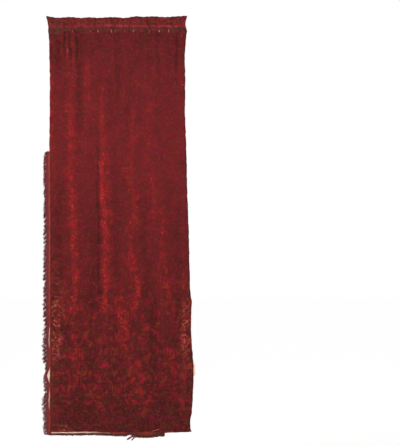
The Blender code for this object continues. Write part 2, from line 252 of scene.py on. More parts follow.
# The velvet's pattern: an ogee repeat, mirrored about its axis and dropped by half between
# columns. All places are in metres from the middle of the comb, across and down.
PATTERN_AXIS = 0.034
PATTERN_WIDE = 0.557
PATTERN_HIGH = 0.475
COMB_BELOW = 1.965
LEAVES = rows_of(
    "x y long wide turn",
    (0.041, -0.105, 0.036, 0.012, -8),
    (0.018, -0.066, 0.020, 0.008, 14),
    (0.074, -0.056, 0.032, 0.010, 34),
    (0.092, 0.006, 0.034, 0.011, -28),
    (0.068, 0.066, 0.030, 0.010, -52),
    (0.055, 0.275, 0.030, 0.012, 78),
    (0.100, 0.236, 0.036, 0.011, 26),
    (0.030, 0.214, 0.030, 0.010, -24),
    (0.064, 0.330, 0.030, 0.010, 50),
    (0.120, 0.316, 0.028, 0.010, -40),
    (0.110, 0.140, 0.036, 0.011, 12),
    (0.012, 0.182, 0.024, 0.008, 0),
    (0.112, -0.090, 0.040, 0.010, -24),
    (0.146, -0.092, 0.040, 0.010, 26),
    (0.166, 0.046, 0.028, 0.010, 62),
)
HOOPS = rows_of(
    "x y radius thick",
    (0.000, 0.111, 0.046, 0.009),
    (0.141, 0.380, 0.030, 0.010),
)
PETALS = 4.0
PETAL_RADIUS = 0.034
COMB_HALF_WIDE = 0.066
COMB_HALF_HIGH = 0.033
COMB_PITCH = 0.020
OGEE_AT = 0.102
OGEE_SWING = 0.042
OGEE_HALF_THICK = 0.007

# The fringe's parts, each by how far outside the velvet's left edge it reaches: the cord
# that lies on the edge, the braid beside it from its inner side to the yarns' roots, and
# the yarns' tips. Where the braid has pulled away from the cord, the lining shows.
SIDE_STRETCHES = rows_of(
    "below cord inner root tip gather",
    (0.878, 0.0060, 0.003, 0.014, 0.026, 0.10),
    (0.900, 0.0068, 0.003, 0.020, 0.035, 0.08),
    (1.230, 0.0068, 0.003, 0.022, 0.036, 0.16),
    (1.330, 0.0068, 0.003, 0.019, 0.038, 0.50),
    (1.960, 0.0068, 0.003, 0.018, 0.039, 0.55),
    (1.990, 0.0060, 0.003, 0.015, 0.029, 0.60),
    (2.020, 0.0050, 0.003, 0.016, 0.040, 0.50),
    (2.040, 0.0000, 0.0052, 0.017, 0.042, 0.50),
    (2.150, 0.0000, 0.0052, 0.017, 0.043, 0.55),
    (2.185, 0.0050, 0.003, 0.015, 0.042, 0.60),
    (2.240, 0.0060, 0.003, 0.015, 0.042, 0.60),
    (2.262, 0.0060, 0.003, 0.016, 0.028, 0.40),
    (2.300, -0.0010, 0.003, 0.018, 0.027, 0.20),
    (2.352, -0.0010, 0.0200, 0.026, 0.038, 0.20),
    (2.370, -0.0010, 0.010, 0.024, 0.041, 0.20),
    (2.404, 0.0000, 0.001, 0.018, 0.036, 0.30),
    (2.440, 0.0010, 0.003, 0.016, 0.034, 0.40),
    (2.470, 0.0000, 0.006, 0.018, 0.047, 0.45),
    (2.509, 0.0000, 0.0075, 0.019, 0.047, 0.45),
    (2.560, 0.0010, 0.005, 0.018, 0.043, 0.40),
    (2.595, 0.0060, 0.003, 0.017, 0.038, 0.30),
    (2.730, 0.0068, 0.003, 0.017, 0.036, 0.20),
)
SIDE_STARTS_BELOW = 0.878
SIDE_ENDS_BELOW = HEM_BELOW + 0.004
CORD_ON_VELVET = 0.011
SIDE_LEAN = math.radians(45)

# The braid under the hem: its top and its lower edge, both from the top of the drape,
# and how red it is along its upper half, partly a painted highlight.
BOTTOM_STRETCHES = rows_of(
    "across top low red",
    (-0.4720, 2.7270, 2.7350, 0.0),
    (-0.4450, 2.7275, 2.7385, 0.0),
    (-0.4200, 2.7268, 2.7405, 0.1),
    (-0.2130, 2.7262, 2.7415, 0.1),
    (-0.1300, 2.7245, 2.7405, 0.2),
    (-0.1000, 2.7265, 2.7410, 0.1),
    (-0.0380, 2.7265, 2.7435, 0.1),
    (-0.0250, 2.7190, 2.7440, 0.9),
    (0.0300, 2.7185, 2.7460, 1.0),
    (0.0680, 2.7185, 2.7475, 0.6),
    (0.0780, 2.7185, 2.7375, 0.2),
    (0.1000, 2.7185, 2.7395, 0.2),
    (0.1120, 2.7180, 2.7520, 0.3),
    (0.1400, 2.7170, 2.7550, 0.4),
    (0.1900, 2.7160, 2.7570, 0.9),
    (0.2300, 2.7160, 2.7550, 0.8),
    (0.2550, 2.7170, 2.7515, 0.4),
    (0.2900, 2.7200, 2.7465, 0.1),
    (0.3170, 2.7235, 2.7450, 0.0),
)

VELVET_THICK = 0.0022
HEADING_TURN_THICK = 0.0018
HEM_TURN_THICK = 0.0010
LINING_GAP = 0.0007
LINING_THICK = 0.0009
RIDGE_BELOW = 0.058
RIDGE_HALF = 0.0052
RIDGE_PROUD = 0.0030
BAND_PROUD = 0.0010
CLOTH_WIDE = 0.93
CLOTH_COLUMNS = 201
FINE_HEADING_TO = 0.130
FINE_HEM_FROM = 2.660
LINING_STARTS_BELOW = 0.060
LINING_FINE_FROM = 2.28

# How fine the trim is, and how much painted light and shade lie on the pile.
BAND_COLUMNS = 9
YARN_STEPS = 6
YARN_SIDES = 4
YARN_ROOT_RADIUS = 0.00100
YARN_TIP_RADIUS = 0.00070
YARN_BEND = 0.0016
STITCH_STEPS = 8
STRAY_STEPS = 14
CREASE_PAINTED_LIGHT = 45.0
SHADE_DEPTH = 0.36
WARP_PITCH = 0.0011
WEFT_PITCH = 0.0012
PLAIT_DOWN = 1050.0
PLAIT_ACROSS = 700.0


def along(table, name, at):
    """A column of a table at places between its rows, its first column being the place."""
    places = [row[0] for row in table]
    return np.interp(at, places, [getattr(row, name) for row in table])


def eased(table, at):
    """The rise of an edge at a share of the width, eased between its rows."""
    places = np.array([row.across for row in table])
    rise = np.array([row.rise for row in table])
    row = np.clip(np.searchsorted(places, at, side="right") - 1, 0, len(places) - 2)
    share = np.clip((at - places[row]) / (places[row + 1] - places[row]), 0, 1)
    share = share * share * (3 - 2 * share)
    return rise[row] + (rise[row + 1] - rise[row]) * share


def smooth_step(low, high, value):
    share = np.clip((value - low) / (high - low), 0, 1)
    return share * share * (3 - 2 * share)


def bell(distance, wide):
    return np.exp(-((distance / wide) ** 2))


def wave(value, pitch, late=0.0):
    return np.sin(2 * math.pi * value / pitch + late)


# The form of the hung cloth


def fold_height(across, below):
    """How far the folds bring the cloth forward."""
    down = np.clip(below / HEM_BELOW, 0, 1.02)
    height = 0.0
    for fold in FOLDS:
        centre = fold.at_heading + (fold.at_hem - fold.at_heading) * down
        proud = fold.heading * (1 - down) * (1 - 2 * down)
        proud = proud + fold.middle * 4 * down * (1 - down)
        proud = proud + fold.hem * down * (2 * down - 1)
        height = height + proud * bell(across - centre, fold.wide)
    return height


def pinch_share(place):
    """Where a pinch or stitch is across the cloth, as a share, from its place in metres."""
    left = along(SECTIONS, "left", PINCH_ROW_BELOW)
    right = along(SECTIONS, "right", PINCH_ROW_BELOW)
    return (place - left) / (right - left)


def pinch_depth(across, below):
    """How far the pinches draw the cloth back."""
    above = PINCH_AT_TOP + (1 - PINCH_AT_TOP) * below / PINCH_ROW_BELOW
    under = bell(below - PINCH_ROW_BELOW, PINCH_FADE)
    strength = np.where(below < PINCH_ROW_BELOW, above, under)
    depth = 0.0
    for pinch in PINCHES:
        depth = depth + pinch.deep * bell(across - pinch_share(pinch.across), PINCH_HALF_WIDE)
    return depth * strength


def crease_height(across, below):
    """How far the small creases stand out."""
    height = 0.0
    for crease in CREASES:
        down = (below - crease.start) / (crease.end - crease.start)
        centre = crease.at_start + (crease.at_end - crease.at_start) * down
        centre = centre + 0.004 * np.sin(9.0 * down + 40.0 * crease.wide)
        ends = smooth_step(0.0, 0.25, down) * smooth_step(1.0, 0.75, down)
        height = height + crease.proud * ends * bell(across - centre, crease.wide)
    return height


def ripple(across, below):
    """The slight unevenness of old cloth that has hung for long."""
    slow = 0.0010 * np.sin(17.0 * across + 2.1 * below + 0.6)
    slow = slow + 0.0008 * np.sin(31.0 * across - 3.7 * below + 1.9)
    slow = slow + 0.0006 * np.sin(9.0 * across + 11.0 * below + 0.3)
    by_fringe = bell(across, 0.030) * smooth_step(0.84, 0.95, below)
    pucker = 0.0012 * by_fringe * wave(below, 0.047, 2.0 * np.sin(5.0 * below))
    by_hem = bell(below - HEM_BELOW, 0.030)
    curl = 0.0014 * by_hem * np.sin(46.0 * across + 1.3 * np.sin(13.0 * across))
    return slow + pucker + curl


def cloth_y(across, below):
    """The front of the cloth without the heading's own relief."""
    forward = fold_height(across, below) + crease_height(across, below) + ripple(across, below)
    return pinch_depth(across, below) - forward


def ridge_at(across):
    """How far down the raised line of sewing is."""
    return RIDGE_BELOW + 0.0022 * np.sin(5.2 * across + 2.4) + 0.0008 * np.sin(41.0 * across)


def heading_relief(across, below):
    """The turned-over band, its small gathers and the raised line of sewing under it."""
    band = BAND_PROUD * smooth_step(HEADING_DEEP + 0.004, HEADING_DEEP - 0.004, below)
    gathers = 0.0010 * np.sin(190.0 * across + 3.0 * np.sin(37.0 * across) + 9.0 * below)
    gathers = gathers * smooth_step(0.112, 0.070, below)
    beads = 1.0 + 0.16 * wave(across, 1 / 150)
    ridge = RIDGE_PROUD * beads * bell(below - ridge_at(across), RIDGE_HALF)
    return band + gathers + ridge


def edge_x(across, below):
    """Where the cloth is from left to right, with its slightly uneven edges."""
    left, right = along(SECTIONS, "left", below), along(SECTIONS, "right", below)
    wobble = 0.0010 * np.sin(61.0 * below + 2.0 * np.sin(17.0 * below))
    wobble = wobble + 0.0007 * np.sin(143.0 * below + 1.0)
    to_edge = 2 * across - 1
    return left + across * (right - left) + wobble * to_edge * bell(1 - abs(to_edge), 0.12)


def cloth_z(across, below):
    frayed = 0.0009 * wave(across, 0.037) + 0.0006 * wave(across, 0.0113, 1.0)
    top = (eased(TOP_EDGE, across) + frayed) * np.clip(1 - below / HEADING_DEEP, 0, 1)
    sag = eased(HEM_EDGE, across) + 0.0007 * np.sin(83.0 * across)
    return -below + top + sag * smooth_step(HEM_BELOW - 0.032, HEM_BELOW, below)


def turned(below):
    """The second layer of velvet behind the heading and the hem."""
    heading = HEADING_TURN_THICK * smooth_step(0.122, 0.095, below)
    hem_starts = HEM_BELOW - HEM_DEEP
    return heading + HEM_TURN_THICK * smooth_step(hem_starts - 0.05, hem_starts, below)


# Wear, colour, painted highlight and painted shade over the cloth, kept with its points


def streaks(table, x, below):
    """The strongest of a table's streaks at each point."""
    strongest = 0.0
    for streak in table:
        down = (below - streak.start) / (streak.end - streak.start)
        centre = streak.at_start + (streak.at_end - streak.at_start) * down
        late = 30.0 * streak.at_start
        centre = centre + 0.004 * np.sin(13.0 * below + late) + 0.003 * np.sin(47.0 * below + late)
        uneven = 1.0 + 0.25 * np.sin(33.0 * below + 2.0 * late) + 0.20 * np.sin(79.0 * below - late)
        ends = smooth_step(-0.05, 0.25, down) * smooth_step(1.05, 0.75, down)
        inside = smooth_step(1.5, 0.2, abs(x - centre) / (streak.wide * uneven))
        strongest = np.maximum(strongest, streak.amount * ends * inside)
    return strongest


def worn_and_highlit_places(across, below):
    """Where the pile is worn off, at the left edge and the hem's right end, and where a
    painted highlight lies along the raised line of sewing.
    """
    # Painted highlight along the raised line of sewing, stronger to the right.
    line = 0.14 + 0.48 * smooth_step(0.12, 0.60, across)
    line = line * bell(below - ridge_at(across), 0.0090 - 0.0040 * smooth_step(0.2, 0.6, across))
    left = 0.35 * bell(across, 0.006) * smooth_step(0.20, 0.45, below)
    left = left * smooth_step(1.00, 0.86, below)
    spot = 1.0 * bell(across, 0.008) * bell(below - 0.865, 0.022)
    hem = 0.90 * bell(below - HEM_BELOW, 0.006) * smooth_step(0.80, 0.84, across)
    return np.clip(line + left + spot + hem, 0, 1)


def cracked_places(across, below):
    """Where the ground shows in thin cracks, low down at both edges."""
    low_left = 1.0 * bell(across - 0.045, 0.045) * bell(below - 2.04, 0.26)
    low_right = 0.9 * bell(across - 0.960, 0.035) * bell(below - 2.04, 0.24)
    corner = 0.7 * bell(across - 0.10, 0.07) * bell(below - 2.700, 0.030)
    return np.clip(low_left + low_right + corner, 0, 1)


def dull_and_painted_shade_places(across, below):
    """Where the colour goes brown: the heading and its left side, and towards the hem. In the
    band under the raised line of sewing and beside the cord it is painted shade.
    """
    # The heading goes brown, and the band just under the raised line of sewing gets painted shadow.
    heading = 0.50 * smooth_step(0.140, 0.080, below) + 0.45 * bell(below - 0.080, 0.012)
    left = 0.45 * bell(across - 0.05, 0.06) * bell(below - 0.12, 0.10)
    low = 0.26 * smooth_step(1.70, 2.50, below)
    # Painted shade on the velvet beside the cord.
    side = 0.60 * bell(across - 0.020, 0.012) * smooth_step(1.15, 1.30, below)
    return np.clip(heading + left + low + side, 0, 1)


def pile_tone_and_painted_light(across, x, below):
    """How light the pile is: its tone down the panel, painted light and shade on the creases
    by how far they stand out, and painted shade between them, at the top and right edges
    and beside the cord.
    """
    light = along(TONES_WITH_PAINTED_SHADOW, "light", below)
    light = light + CREASE_PAINTED_LIGHT * crease_height(across, below)
    light = light - SHADE_DEPTH * streaks(SHADED, x, below)
    # Painted shade along the top and right edges.
    light = light - 0.35 * bell(below, 0.006) - 0.30 * bell(1 - across, 0.008)
    # Painted shade on the velvet beside the cord.
    by_cord = 0.16 * bell(across - 0.020, 0.010) * smooth_step(1.15, 1.30, below)
    return np.clip(light - by_cord, 0, 1)


# Mesh building


def grid_faces(rows, columns, first=0):
    """Four-cornered faces between the points of a grid, facing -Y when rows go down."""
    row, column = np.meshgrid(np.arange(rows - 1), np.arange(columns - 1), indexing="ij")
    corner = first + row * columns + column
    faces = np.stack([corner, corner + columns, corner + columns + 1, corner + 1], axis=-1)
    return faces.reshape(-1, 4).tolist()


def rim_faces(front, back, row_step, column_step):
    """Triangles between the edge of a front grid and that of a coarser one behind it."""
    faces = []
    runs = (
        (front[:, 0], back[:, 0], row_step),
        (front[-1, :], back[-1, :], column_step),
        (front[::-1, -1], back[::-1, -1], row_step),
        (front[0, ::-1], back[0, ::-1], column_step),
    )
    for fine, coarse, step in runs:
        half = step // 2
        for k in range(len(coarse) - 1):
            near, far = int(coarse[k]), int(coarse[k + 1])
            run = fine[k * step : (k + 1) * step + 1].tolist()
            faces += [(run[i + 1], run[i], near) for i in range(half)]
            faces.append((run[half], near, far))
            faces += [(run[i + 1], run[i], far) for i in range(half, step)]
    return faces


def new_object(name, points, faces, look, uv=None, marks=None):
    """A smooth mesh object. uv is each point's place on the flat cloth, marks its values."""
    mesh = bpy.data.meshes.new(name)
    mesh.from_pydata(np.asarray(points).tolist(), [], faces)
    if uv is not None:
        corners = np.zeros(len(mesh.loops), np.int32)
        mesh.loops.foreach_get("vertex_index", corners)
        layer = mesh.uv_layers.new(name="cloth")
        layer.data.foreach_set("uv", uv[corners].astype(np.float32).ravel())
    for mark, values in (marks or {}).items():
        made = mesh.attributes.new(name=mark, type="FLOAT", domain="POINT")
        made.data.foreach_set("value", np.asarray(values, np.float32))
    mesh.materials.append(look)
    mesh.shade_smooth()
    mesh.update()
    made = bpy.data.objects.new(name, mesh)
    bpy.context.scene.collection.objects.link(made)
    return made


def closed_sheet(name, front, back, uv, look, marks=None, row_step=1, column_step=1):
    """A thin closed sheet: a grid in front, a coarser one behind, and its rim between."""
    rows, columns = front.shape[:2]
    back = back[::row_step, ::column_step]
    front_index = np.arange(rows * columns).reshape(rows, columns)
    back_index = rows * columns + np.arange(back.shape[0] * back.shape[1]).reshape(back.shape[:2])
    faces = grid_faces(rows, columns)
    faces += [face[::-1] for face in grid_faces(*back.shape[:2], rows * columns)]
    faces += rim_faces(front_index, back_index, row_step, column_step)
    points = np.concatenate([front.reshape(-1, 3), back.reshape(-1, 3)])
    places = np.concatenate([uv.reshape(-1, 2), uv[::row_step, ::column_step].reshape(-1, 2)])
    both = {}
    for mark, values in (marks or {}).items():
        both[mark] = np.concatenate([values.ravel(), values[::row_step, ::column_step].ravel()])
    return new_object(name, points, faces, look, places, both)


def tubes(name, paths, radii, sides, look, tones):
    """Closed tubes in one object, from their paths, the radii along them and their tones."""
    count, steps = paths.shape[:2]
    way = np.gradient(paths, axis=1)
    way /= np.linalg.norm(way, axis=2, keepdims=True)
    across = np.cross(way, np.array([0.0, -1.0, 0.0]))
    across /= np.maximum(np.linalg.norm(across, axis=2, keepdims=True), 1e-9)
    out = np.cross(across, way)
    turn = np.arange(sides) * 2 * math.pi / sides
    ring = across[:, :, None] * np.cos(turn)[:, None] + out[:, :, None] * np.sin(turn)[:, None]
    points = (paths[:, :, None] + ring * radii[:, :, None, None]).reshape(-1, 3)
    index = np.arange(count * steps * sides).reshape(count, steps, sides)
    near, far = index[:, :-1], index[:, 1:]
    walls = np.stack([near, np.roll(near, -1, 2), np.roll(far, -1, 2), far], axis=-1)
    faces = walls.reshape(-1, 4).tolist()
    faces += index[:, 0, ::-1].tolist()
    faces += index[:, -1].tolist()
    tone = np.broadcast_to(np.reshape(tones, (count, -1)), (count, steps))
    return new_object(name, points, faces, look, marks={"tone": np.repeat(tone, sides)})


# Materials


def rgb(red, green, blue):
    """A colour from 0 to 255 as seen, turned into the light that it gives back."""
    seen = np.array([red, green, blue]) / 255
    light = np.where(seen <= 0.04045, seen / 12.92, ((seen + 0.055) / 1.055) ** 2.4)
    return (*light.tolist(), 1.0)


class Number:
    """A number inside a material, so that its node maths reads like ordinary arithmetic."""

    def __init__(self, tree, source):
        self.tree, self.source = tree, source

    def maths(self, operation, *others):
        node = self.tree.nodes.new("ShaderNodeMath")
        node.operation = operation
        for socket, value in zip(node.inputs, (self, *others)):
            if isinstance(value, Number):
                self.tree.links.new(value.source, socket)
            else:
                socket.default_value = value
        return Number(self.tree, node.outputs[0])

    def __add__(self, other):
        return self.maths("ADD", other)

    def __sub__(self, other):
        return self.maths("SUBTRACT", other)

    def __mul__(self, other):
        return self.maths("MULTIPLY", other)

    def __truediv__(self, other):
        return self.maths("DIVIDE", other)

    def __rsub__(self, other):
        return (self * -1.0) + other

    def __abs__(self):
        return self.maths("ABSOLUTE")

    def wrapped(self, period):
        return self.maths("WRAP", period / 2, -period / 2)

    def most(self, other):
        return self.maths("MAXIMUM", other)

    def sine(self):
        return self.maths("SINE")

    def root(self):
        return self.maths("SQRT")

    def ramp(self, low, high, start=0.0, end=1.0):
        """Goes smoothly from start at low to end at high."""
        node = self.tree.nodes.new("ShaderNodeMapRange")
        node.interpolation_type = "SMOOTHSTEP"
        self.tree.links.new(self.source, node.inputs["Value"])
        values = (low, high, start, end) if low < high else (high, low, end, start)
        for socket, value in zip(("From Min", "From Max", "To Min", "To Max"), values):
            node.inputs[socket].default_value = value
        return Number(self.tree, node.outputs["Result"])


class Look:
    """A material under construction."""

    def __init__(self, name, roughness, sheen=0.0, sheen_colour=(1, 1, 1, 1), specular=0.1):
        self.material = bpy.data.materials.new(name)
        self.material.use_nodes = True
        self.tree = self.material.node_tree
        self.shader = self.tree.nodes["Principled BSDF"]
        self.shader.inputs["Roughness"].default_value = roughness
        self.shader.inputs["Specular IOR Level"].default_value = specular
        self.shader.inputs["Sheen Weight"].default_value = sheen
        self.shader.inputs["Sheen Roughness"].default_value = 0.4
        self.shader.inputs["Sheen Tint"].default_value = sheen_colour

    def mark(self, name):
        node = self.tree.nodes.new("ShaderNodeAttribute")
        node.attribute_name = name
        return Number(self.tree, node.outputs["Fac"])

    def uv(self):
        """The place on the flat cloth: across and below, in metres."""
        node = self.tree.nodes.new("ShaderNodeUVMap")
        node.uv_map = "cloth"
        parts = self.tree.nodes.new("ShaderNodeSeparateXYZ")
        self.place = node.outputs["UV"]
        self.tree.links.new(self.place, parts.inputs[0])
        return Number(self.tree, parts.outputs["X"]), Number(self.tree, parts.outputs["Y"])

    def use_object_place(self):
        """Noise is laid out by the place in the object, for pieces with no flat cloth."""
        self.place = self.tree.nodes.new("ShaderNodeTexCoord").outputs["Object"]

    def point(self, x, y, z):
        node = self.tree.nodes.new("ShaderNodeCombineXYZ")
        for socket, value in zip(node.inputs, (x, y, z)):
            self.tree.links.new(value.source, socket)
        return node.outputs[0]

    def noise(self, scale, detail=2.0, stretch=(1.0, 1.0), roughness=0.5, offset=0.0, at=None):
        """Noise from 0 to 1 over the cloth; stretch gives scales across and down."""
        mapping = self.tree.nodes.new("ShaderNodeMapping")
        mapping.inputs["Location"].default_value = (offset, offset * 0.7, 0.0)
        mapping.inputs["Scale"].default_value = (*stretch, 1.0)
        self.tree.links.new(at or self.place, mapping.inputs["Vector"])
        node = self.tree.nodes.new("ShaderNodeTexNoise")
        node.inputs["Scale"].default_value = scale
        node.inputs["Detail"].default_value = detail
        node.inputs["Roughness"].default_value = roughness
        self.tree.links.new(mapping.outputs["Vector"], node.inputs["Vector"])
        return Number(self.tree, node.outputs["Fac"])

    def mix(self, share, first, second):
        """A colour between two, each a colour or another mix."""
        node = self.tree.nodes.new("ShaderNodeMix")
        node.data_type = "RGBA"
        node.clamp_factor = True
        self.tree.links.new(share.source, node.inputs[0])
        for socket, value in ((node.inputs[6], first), (node.inputs[7], second)):
            if isinstance(value, tuple):
                socket.default_value = value
            else:
                self.tree.links.new(value, socket)
        return node.outputs[2]

    def finish(self, colour, height, deep):
        """Joins the colour, and the bump of a height from 0 to 1."""
        self.tree.links.new(colour, self.shader.inputs["Base Color"])
        bump = self.tree.nodes.new("ShaderNodeBump")
        bump.inputs["Distance"].default_value = deep
        self.tree.links.new(height.source, bump.inputs["Height"])
        self.tree.links.new(bump.outputs["Normal"], self.shader.inputs["Normal"])
        return self.material


def leaf_mask(x, t, leaf):
    """One pointed leaf of the pattern, 1 inside it."""
    turn = math.radians(leaf.turn)
    dx, dy = x - leaf.x, (t - leaf.y).wrapped(PATTERN_HIGH)
    wide = abs(dx * math.cos(turn) + dy * math.sin(turn)) * (1 / leaf.wide)
    long = (dy * math.cos(turn) - dx * math.sin(turn)) * (1 / leaf.long)
    return (wide + long * long).ramp(1.50, 0.40)


def hoop_mask(x, t, hoop):
    dx, dy = x - hoop.x, (t - hoop.y).wrapped(PATTERN_HIGH)
    away = abs((dx * dx + dy * dy).root() - hoop.radius)
    return away.ramp(hoop.thick * 1.15, hoop.thick * 0.15)


def comb_mask(x, t):
    """Upright strokes over a curved bar."""
    y = t.wrapped(PATTERN_HIGH)
    strokes = abs(x.wrapped(COMB_PITCH)).ramp(COMB_PITCH * 0.36, COMB_PITCH * 0.16)
    inside = abs(y).ramp(COMB_HALF_HIGH * 1.1, COMB_HALF_HIGH * 0.9)
    inside = inside * x.ramp(COMB_HALF_WIDE * 1.06, COMB_HALF_WIDE * 0.94)
    bar = abs(y - COMB_HALF_HIGH * 1.2 + x * x * 3.0).ramp(0.009, 0.003)
    bar = bar * x.ramp(COMB_HALF_WIDE * 1.2, COMB_HALF_WIDE * 1.1)
    return (strokes * inside).most(bar)


def ogee_mask(x, t):
    """The wavering stem beside the axis, swelling and thinning as it goes."""
    turn = t * (2 * math.pi / PATTERN_HIGH)
    swell = (turn * 5.0 + 0.4).sine() * 0.5 + 1.0
    away = abs(x - OGEE_AT - (turn + 2.2).sine() * OGEE_SWING)
    return (away / (swell * OGEE_HALF_THICK)).ramp(1.8, 0.3)


def petals_mask(x, t, y):
    """Petals inside the ball under the comb."""
    dy = (t - y).wrapped(PATTERN_HIGH)
    away = (x * x + dy * dy).root() * (1 / PETAL_RADIUS)
    edge = abs((x.maths("ARCTAN2", dy) * PETALS).sine()) * 0.35 + 0.45
    return abs(away - edge).ramp(0.22, 0.08)


def foliage_mask(look, x, t):
    """Small stems and leaves that fill the ground, repeating with the pattern."""
    turn = t * (2 * math.pi / PATTERN_HIGH)
    radius = PATTERN_HIGH / (2 * math.pi)
    place = look.point(x, (turn + math.pi / 2).sine() * radius, turn.sine() * radius)
    stems = abs(look.noise(24.0, 2.0, at=place) - 0.5).ramp(0.040, 0.012)
    leaves = look.noise(42.0, 2.0, at=place, offset=4.0).ramp(0.56, 0.64)
    return stems.most(leaves * 0.85)


def motif_mask(look, x, t):
    """One column of the pattern: x is the way from its axis, t the way down."""
    mask = comb_mask(x, t).most(ogee_mask(x, t)).most(petals_mask(x, t, HOOPS[0].y))
    for leaf in LEAVES:
        mask = mask.most(leaf_mask(x, t, leaf))
    for hoop in HOOPS:
        mask = mask.most(hoop_mask(x, t, hoop))
    return (mask * 0.95).most(foliage_mask(look, x, t) * 0.22)


def velvet_look():
    look = Look("cut_velvet", 0.95, sheen=0.22, sheen_colour=rgb(130, 26, 30), specular=0.02)
    x, below = look.uv()
    stray = look.noise(8.0, 3.0, offset=3.1) - 0.5
    stray_down = look.noise(10.0, 3.0, offset=7.7) - 0.5
    from_axis = abs((x - PATTERN_AXIS + stray * 0.026).wrapped(PATTERN_WIDE))
    down = below - COMB_BELOW + stray_down * 0.026
    drawn = motif_mask(look, from_axis, down)
    dropped = motif_mask(look, PATTERN_WIDE / 2 - from_axis, down + PATTERN_HIGH / 2)
    drawn = drawn.most(dropped)

    dark_pile = rgb(62, 25, 23)
    light_pile = rgb(140, 40, 43)
    purple = rgb(114, 27, 47)
    brown = rgb(80, 43, 30)
    faded = rgb(84, 51, 43)
    greyed = rgb(112, 57, 57)
    deep_red = rgb(110, 20, 22)
    rubbed_and_highlight_red = rgb(160, 30, 33)
    rust = rgb(146, 46, 28)
    rose = rgb(156, 26, 42)
    glint = rgb(188, 84, 78)
    bare_ground_and_highlight = rgb(174, 68, 72)
    thin_pile = rgb(134, 58, 40)
    crack_ground = rgb(186, 102, 84)
    between_threads = rgb(50, 18, 18)

    crest, light, dull = look.mark("crest"), look.mark("light"), look.mark("dull")
    worn, cracked = look.mark("worn"), look.mark("cracked")
    speckle = look.noise(105.0, 3.0, roughness=0.6)
    flecks = look.noise(85.0, 2.0, offset=11.0)
    clumps = look.noise(46.0, 3.0, offset=6.0)
    blobs = look.noise(25.0, 2.0, offset=17.0)
    patch = look.noise(13.0, 3.0, offset=1.3, roughness=0.6)
    broad = look.noise(5.0, 3.0, stretch=(2.6, 1.0), offset=5.0)
    hue = look.noise(20.0, 3.0, offset=9.0, roughness=0.6)
    grey = look.noise(56.0, 3.0, offset=14.0, roughness=0.6)
    threads = look.noise(420.0, 2.0, stretch=(1.0, 0.25), offset=2.0)

    band = below.ramp(0.052, 0.044)
    uneven = (broad - 0.5) * 0.30 + (patch - 0.5) * 0.34 + (speckle - 0.5) * 0.10
    uneven = uneven + (blobs.ramp(0.40, 0.60) - 0.5) * (dull * 0.44)
    uneven = uneven + (clumps.ramp(0.40, 0.60) - 0.5) * (band * 0.60)
    uneven = uneven + (speckle.ramp(0.40, 0.60) - 0.5) * (band * 0.30)
    # The light mark: the pile's tone, with painted highlight and painted shade.
    pile = look.mix(light + uneven, dark_pile, light_pile)
    pile = look.mix(hue.ramp(0.50, 0.64) * 0.34, pile, purple)
    # The dull mark browns the pile: partly the pile's colour, partly painted shade.
    pile = look.mix(hue.ramp(0.50, 0.36) * (dull * 0.8 + 0.24), pile, brown)
    pile = look.mix(dull.ramp(0.35, 1.0) * 0.40, pile, faded)
    pile = look.mix(grey.ramp(0.50, 0.64) * (dull * 0.3 + 0.26), pile, greyed)
    pile = look.mix(grey.ramp(0.50, 0.36) * 0.28, pile, deep_red)

    broken = blobs.ramp(0.36, 0.60, 0.40, 1.1) * clumps.ramp(0.34, 0.60, 0.70, 1.06)
    # Painted highlight along the crests, over pile that is partly rubbed there.
    rubbed_and_highlit = (crest * broken).ramp(0.04, 1.0) * (drawn * 0.30 + 0.46)
    rubbed_and_highlit = rubbed_and_highlit * flecks.ramp(0.36, 0.60, 0.55, 1.20)
    colour = look.mix(rubbed_and_highlit, pile, rubbed_and_highlight_red)
    lower = below.ramp(1.50, 2.00) * below.ramp(2.70, 2.44)
    # How much of the pattern's ground shows: more in the lower part, and as painted highlight on the
    # crests.
    shine = (lower * 0.42 + crest * 0.52 + 0.12) * patch.ramp(0.42, 0.60, 0.12, 1.0) * broken
    lines = look.mix(hue.ramp(0.40, 0.60), rust, rose)
    colour = look.mix(drawn * shine, colour, lines)
    # Painted glints: bright flecks on the crests and on the lit lines of the pattern.
    bright = (rubbed_and_highlit * 0.50 + drawn * shine * 0.16) * flecks.ramp(0.54, 0.68)
    colour = look.mix(bright, colour, glint)
    # Worn pile at the edges, and painted highlight along the raised line of sewing.
    worn = worn * blobs.ramp(0.40, 0.58, 0.15, 1.1) * speckle.ramp(0.30, 0.60, 0.40, 1.0)
    colour = look.mix(worn, colour, bare_ground_and_highlight)
    cracks = abs(look.noise(32.0, 2.0, offset=21.0) - 0.5).ramp(0.030, 0.010)
    cracks = cracks * patch.ramp(0.44, 0.54)
    colour = look.mix(cracked * blobs.ramp(0.40, 0.55) * 0.22, colour, thin_pile)
    colour = look.mix(cracked * cracks * 0.75, colour, crack_ground)
    colour = look.mix(threads.ramp(0.55, 0.75) * 0.25, colour, between_threads)
    height = drawn * -0.45 + threads * 0.35 + speckle * 0.30
    return look.finish(colour, height, 0.0010)


def lining_look():
    look = Look("cream_cotton", 0.85, specular=0.1)
    x, below = look.uv()
    warp = (x * (2 * math.pi / WARP_PITCH)).sine()
    weft = (below * (2 * math.pi / WEFT_PITCH)).sine()
    slub = look.noise(30.0, 3.0, stretch=(1.0, 14.0))
    stain = look.noise(4.0, 4.0, offset=2.0)
    colour = look.mix(slub.ramp(0.4, 0.7), rgb(250, 218, 198), rgb(236, 200, 172))
    colour = look.mix(stain.ramp(0.50, 0.72) * 0.6, colour, rgb(200, 158, 124))
    stained_hem = x.ramp(-0.20, -0.13) * below.ramp(2.60, 2.70)
    colour = look.mix(stained_hem * 0.8, colour, rgb(170, 112, 88))
    return look.finish(colour, warp * weft * 0.3 + slub * 0.4, 0.0005)


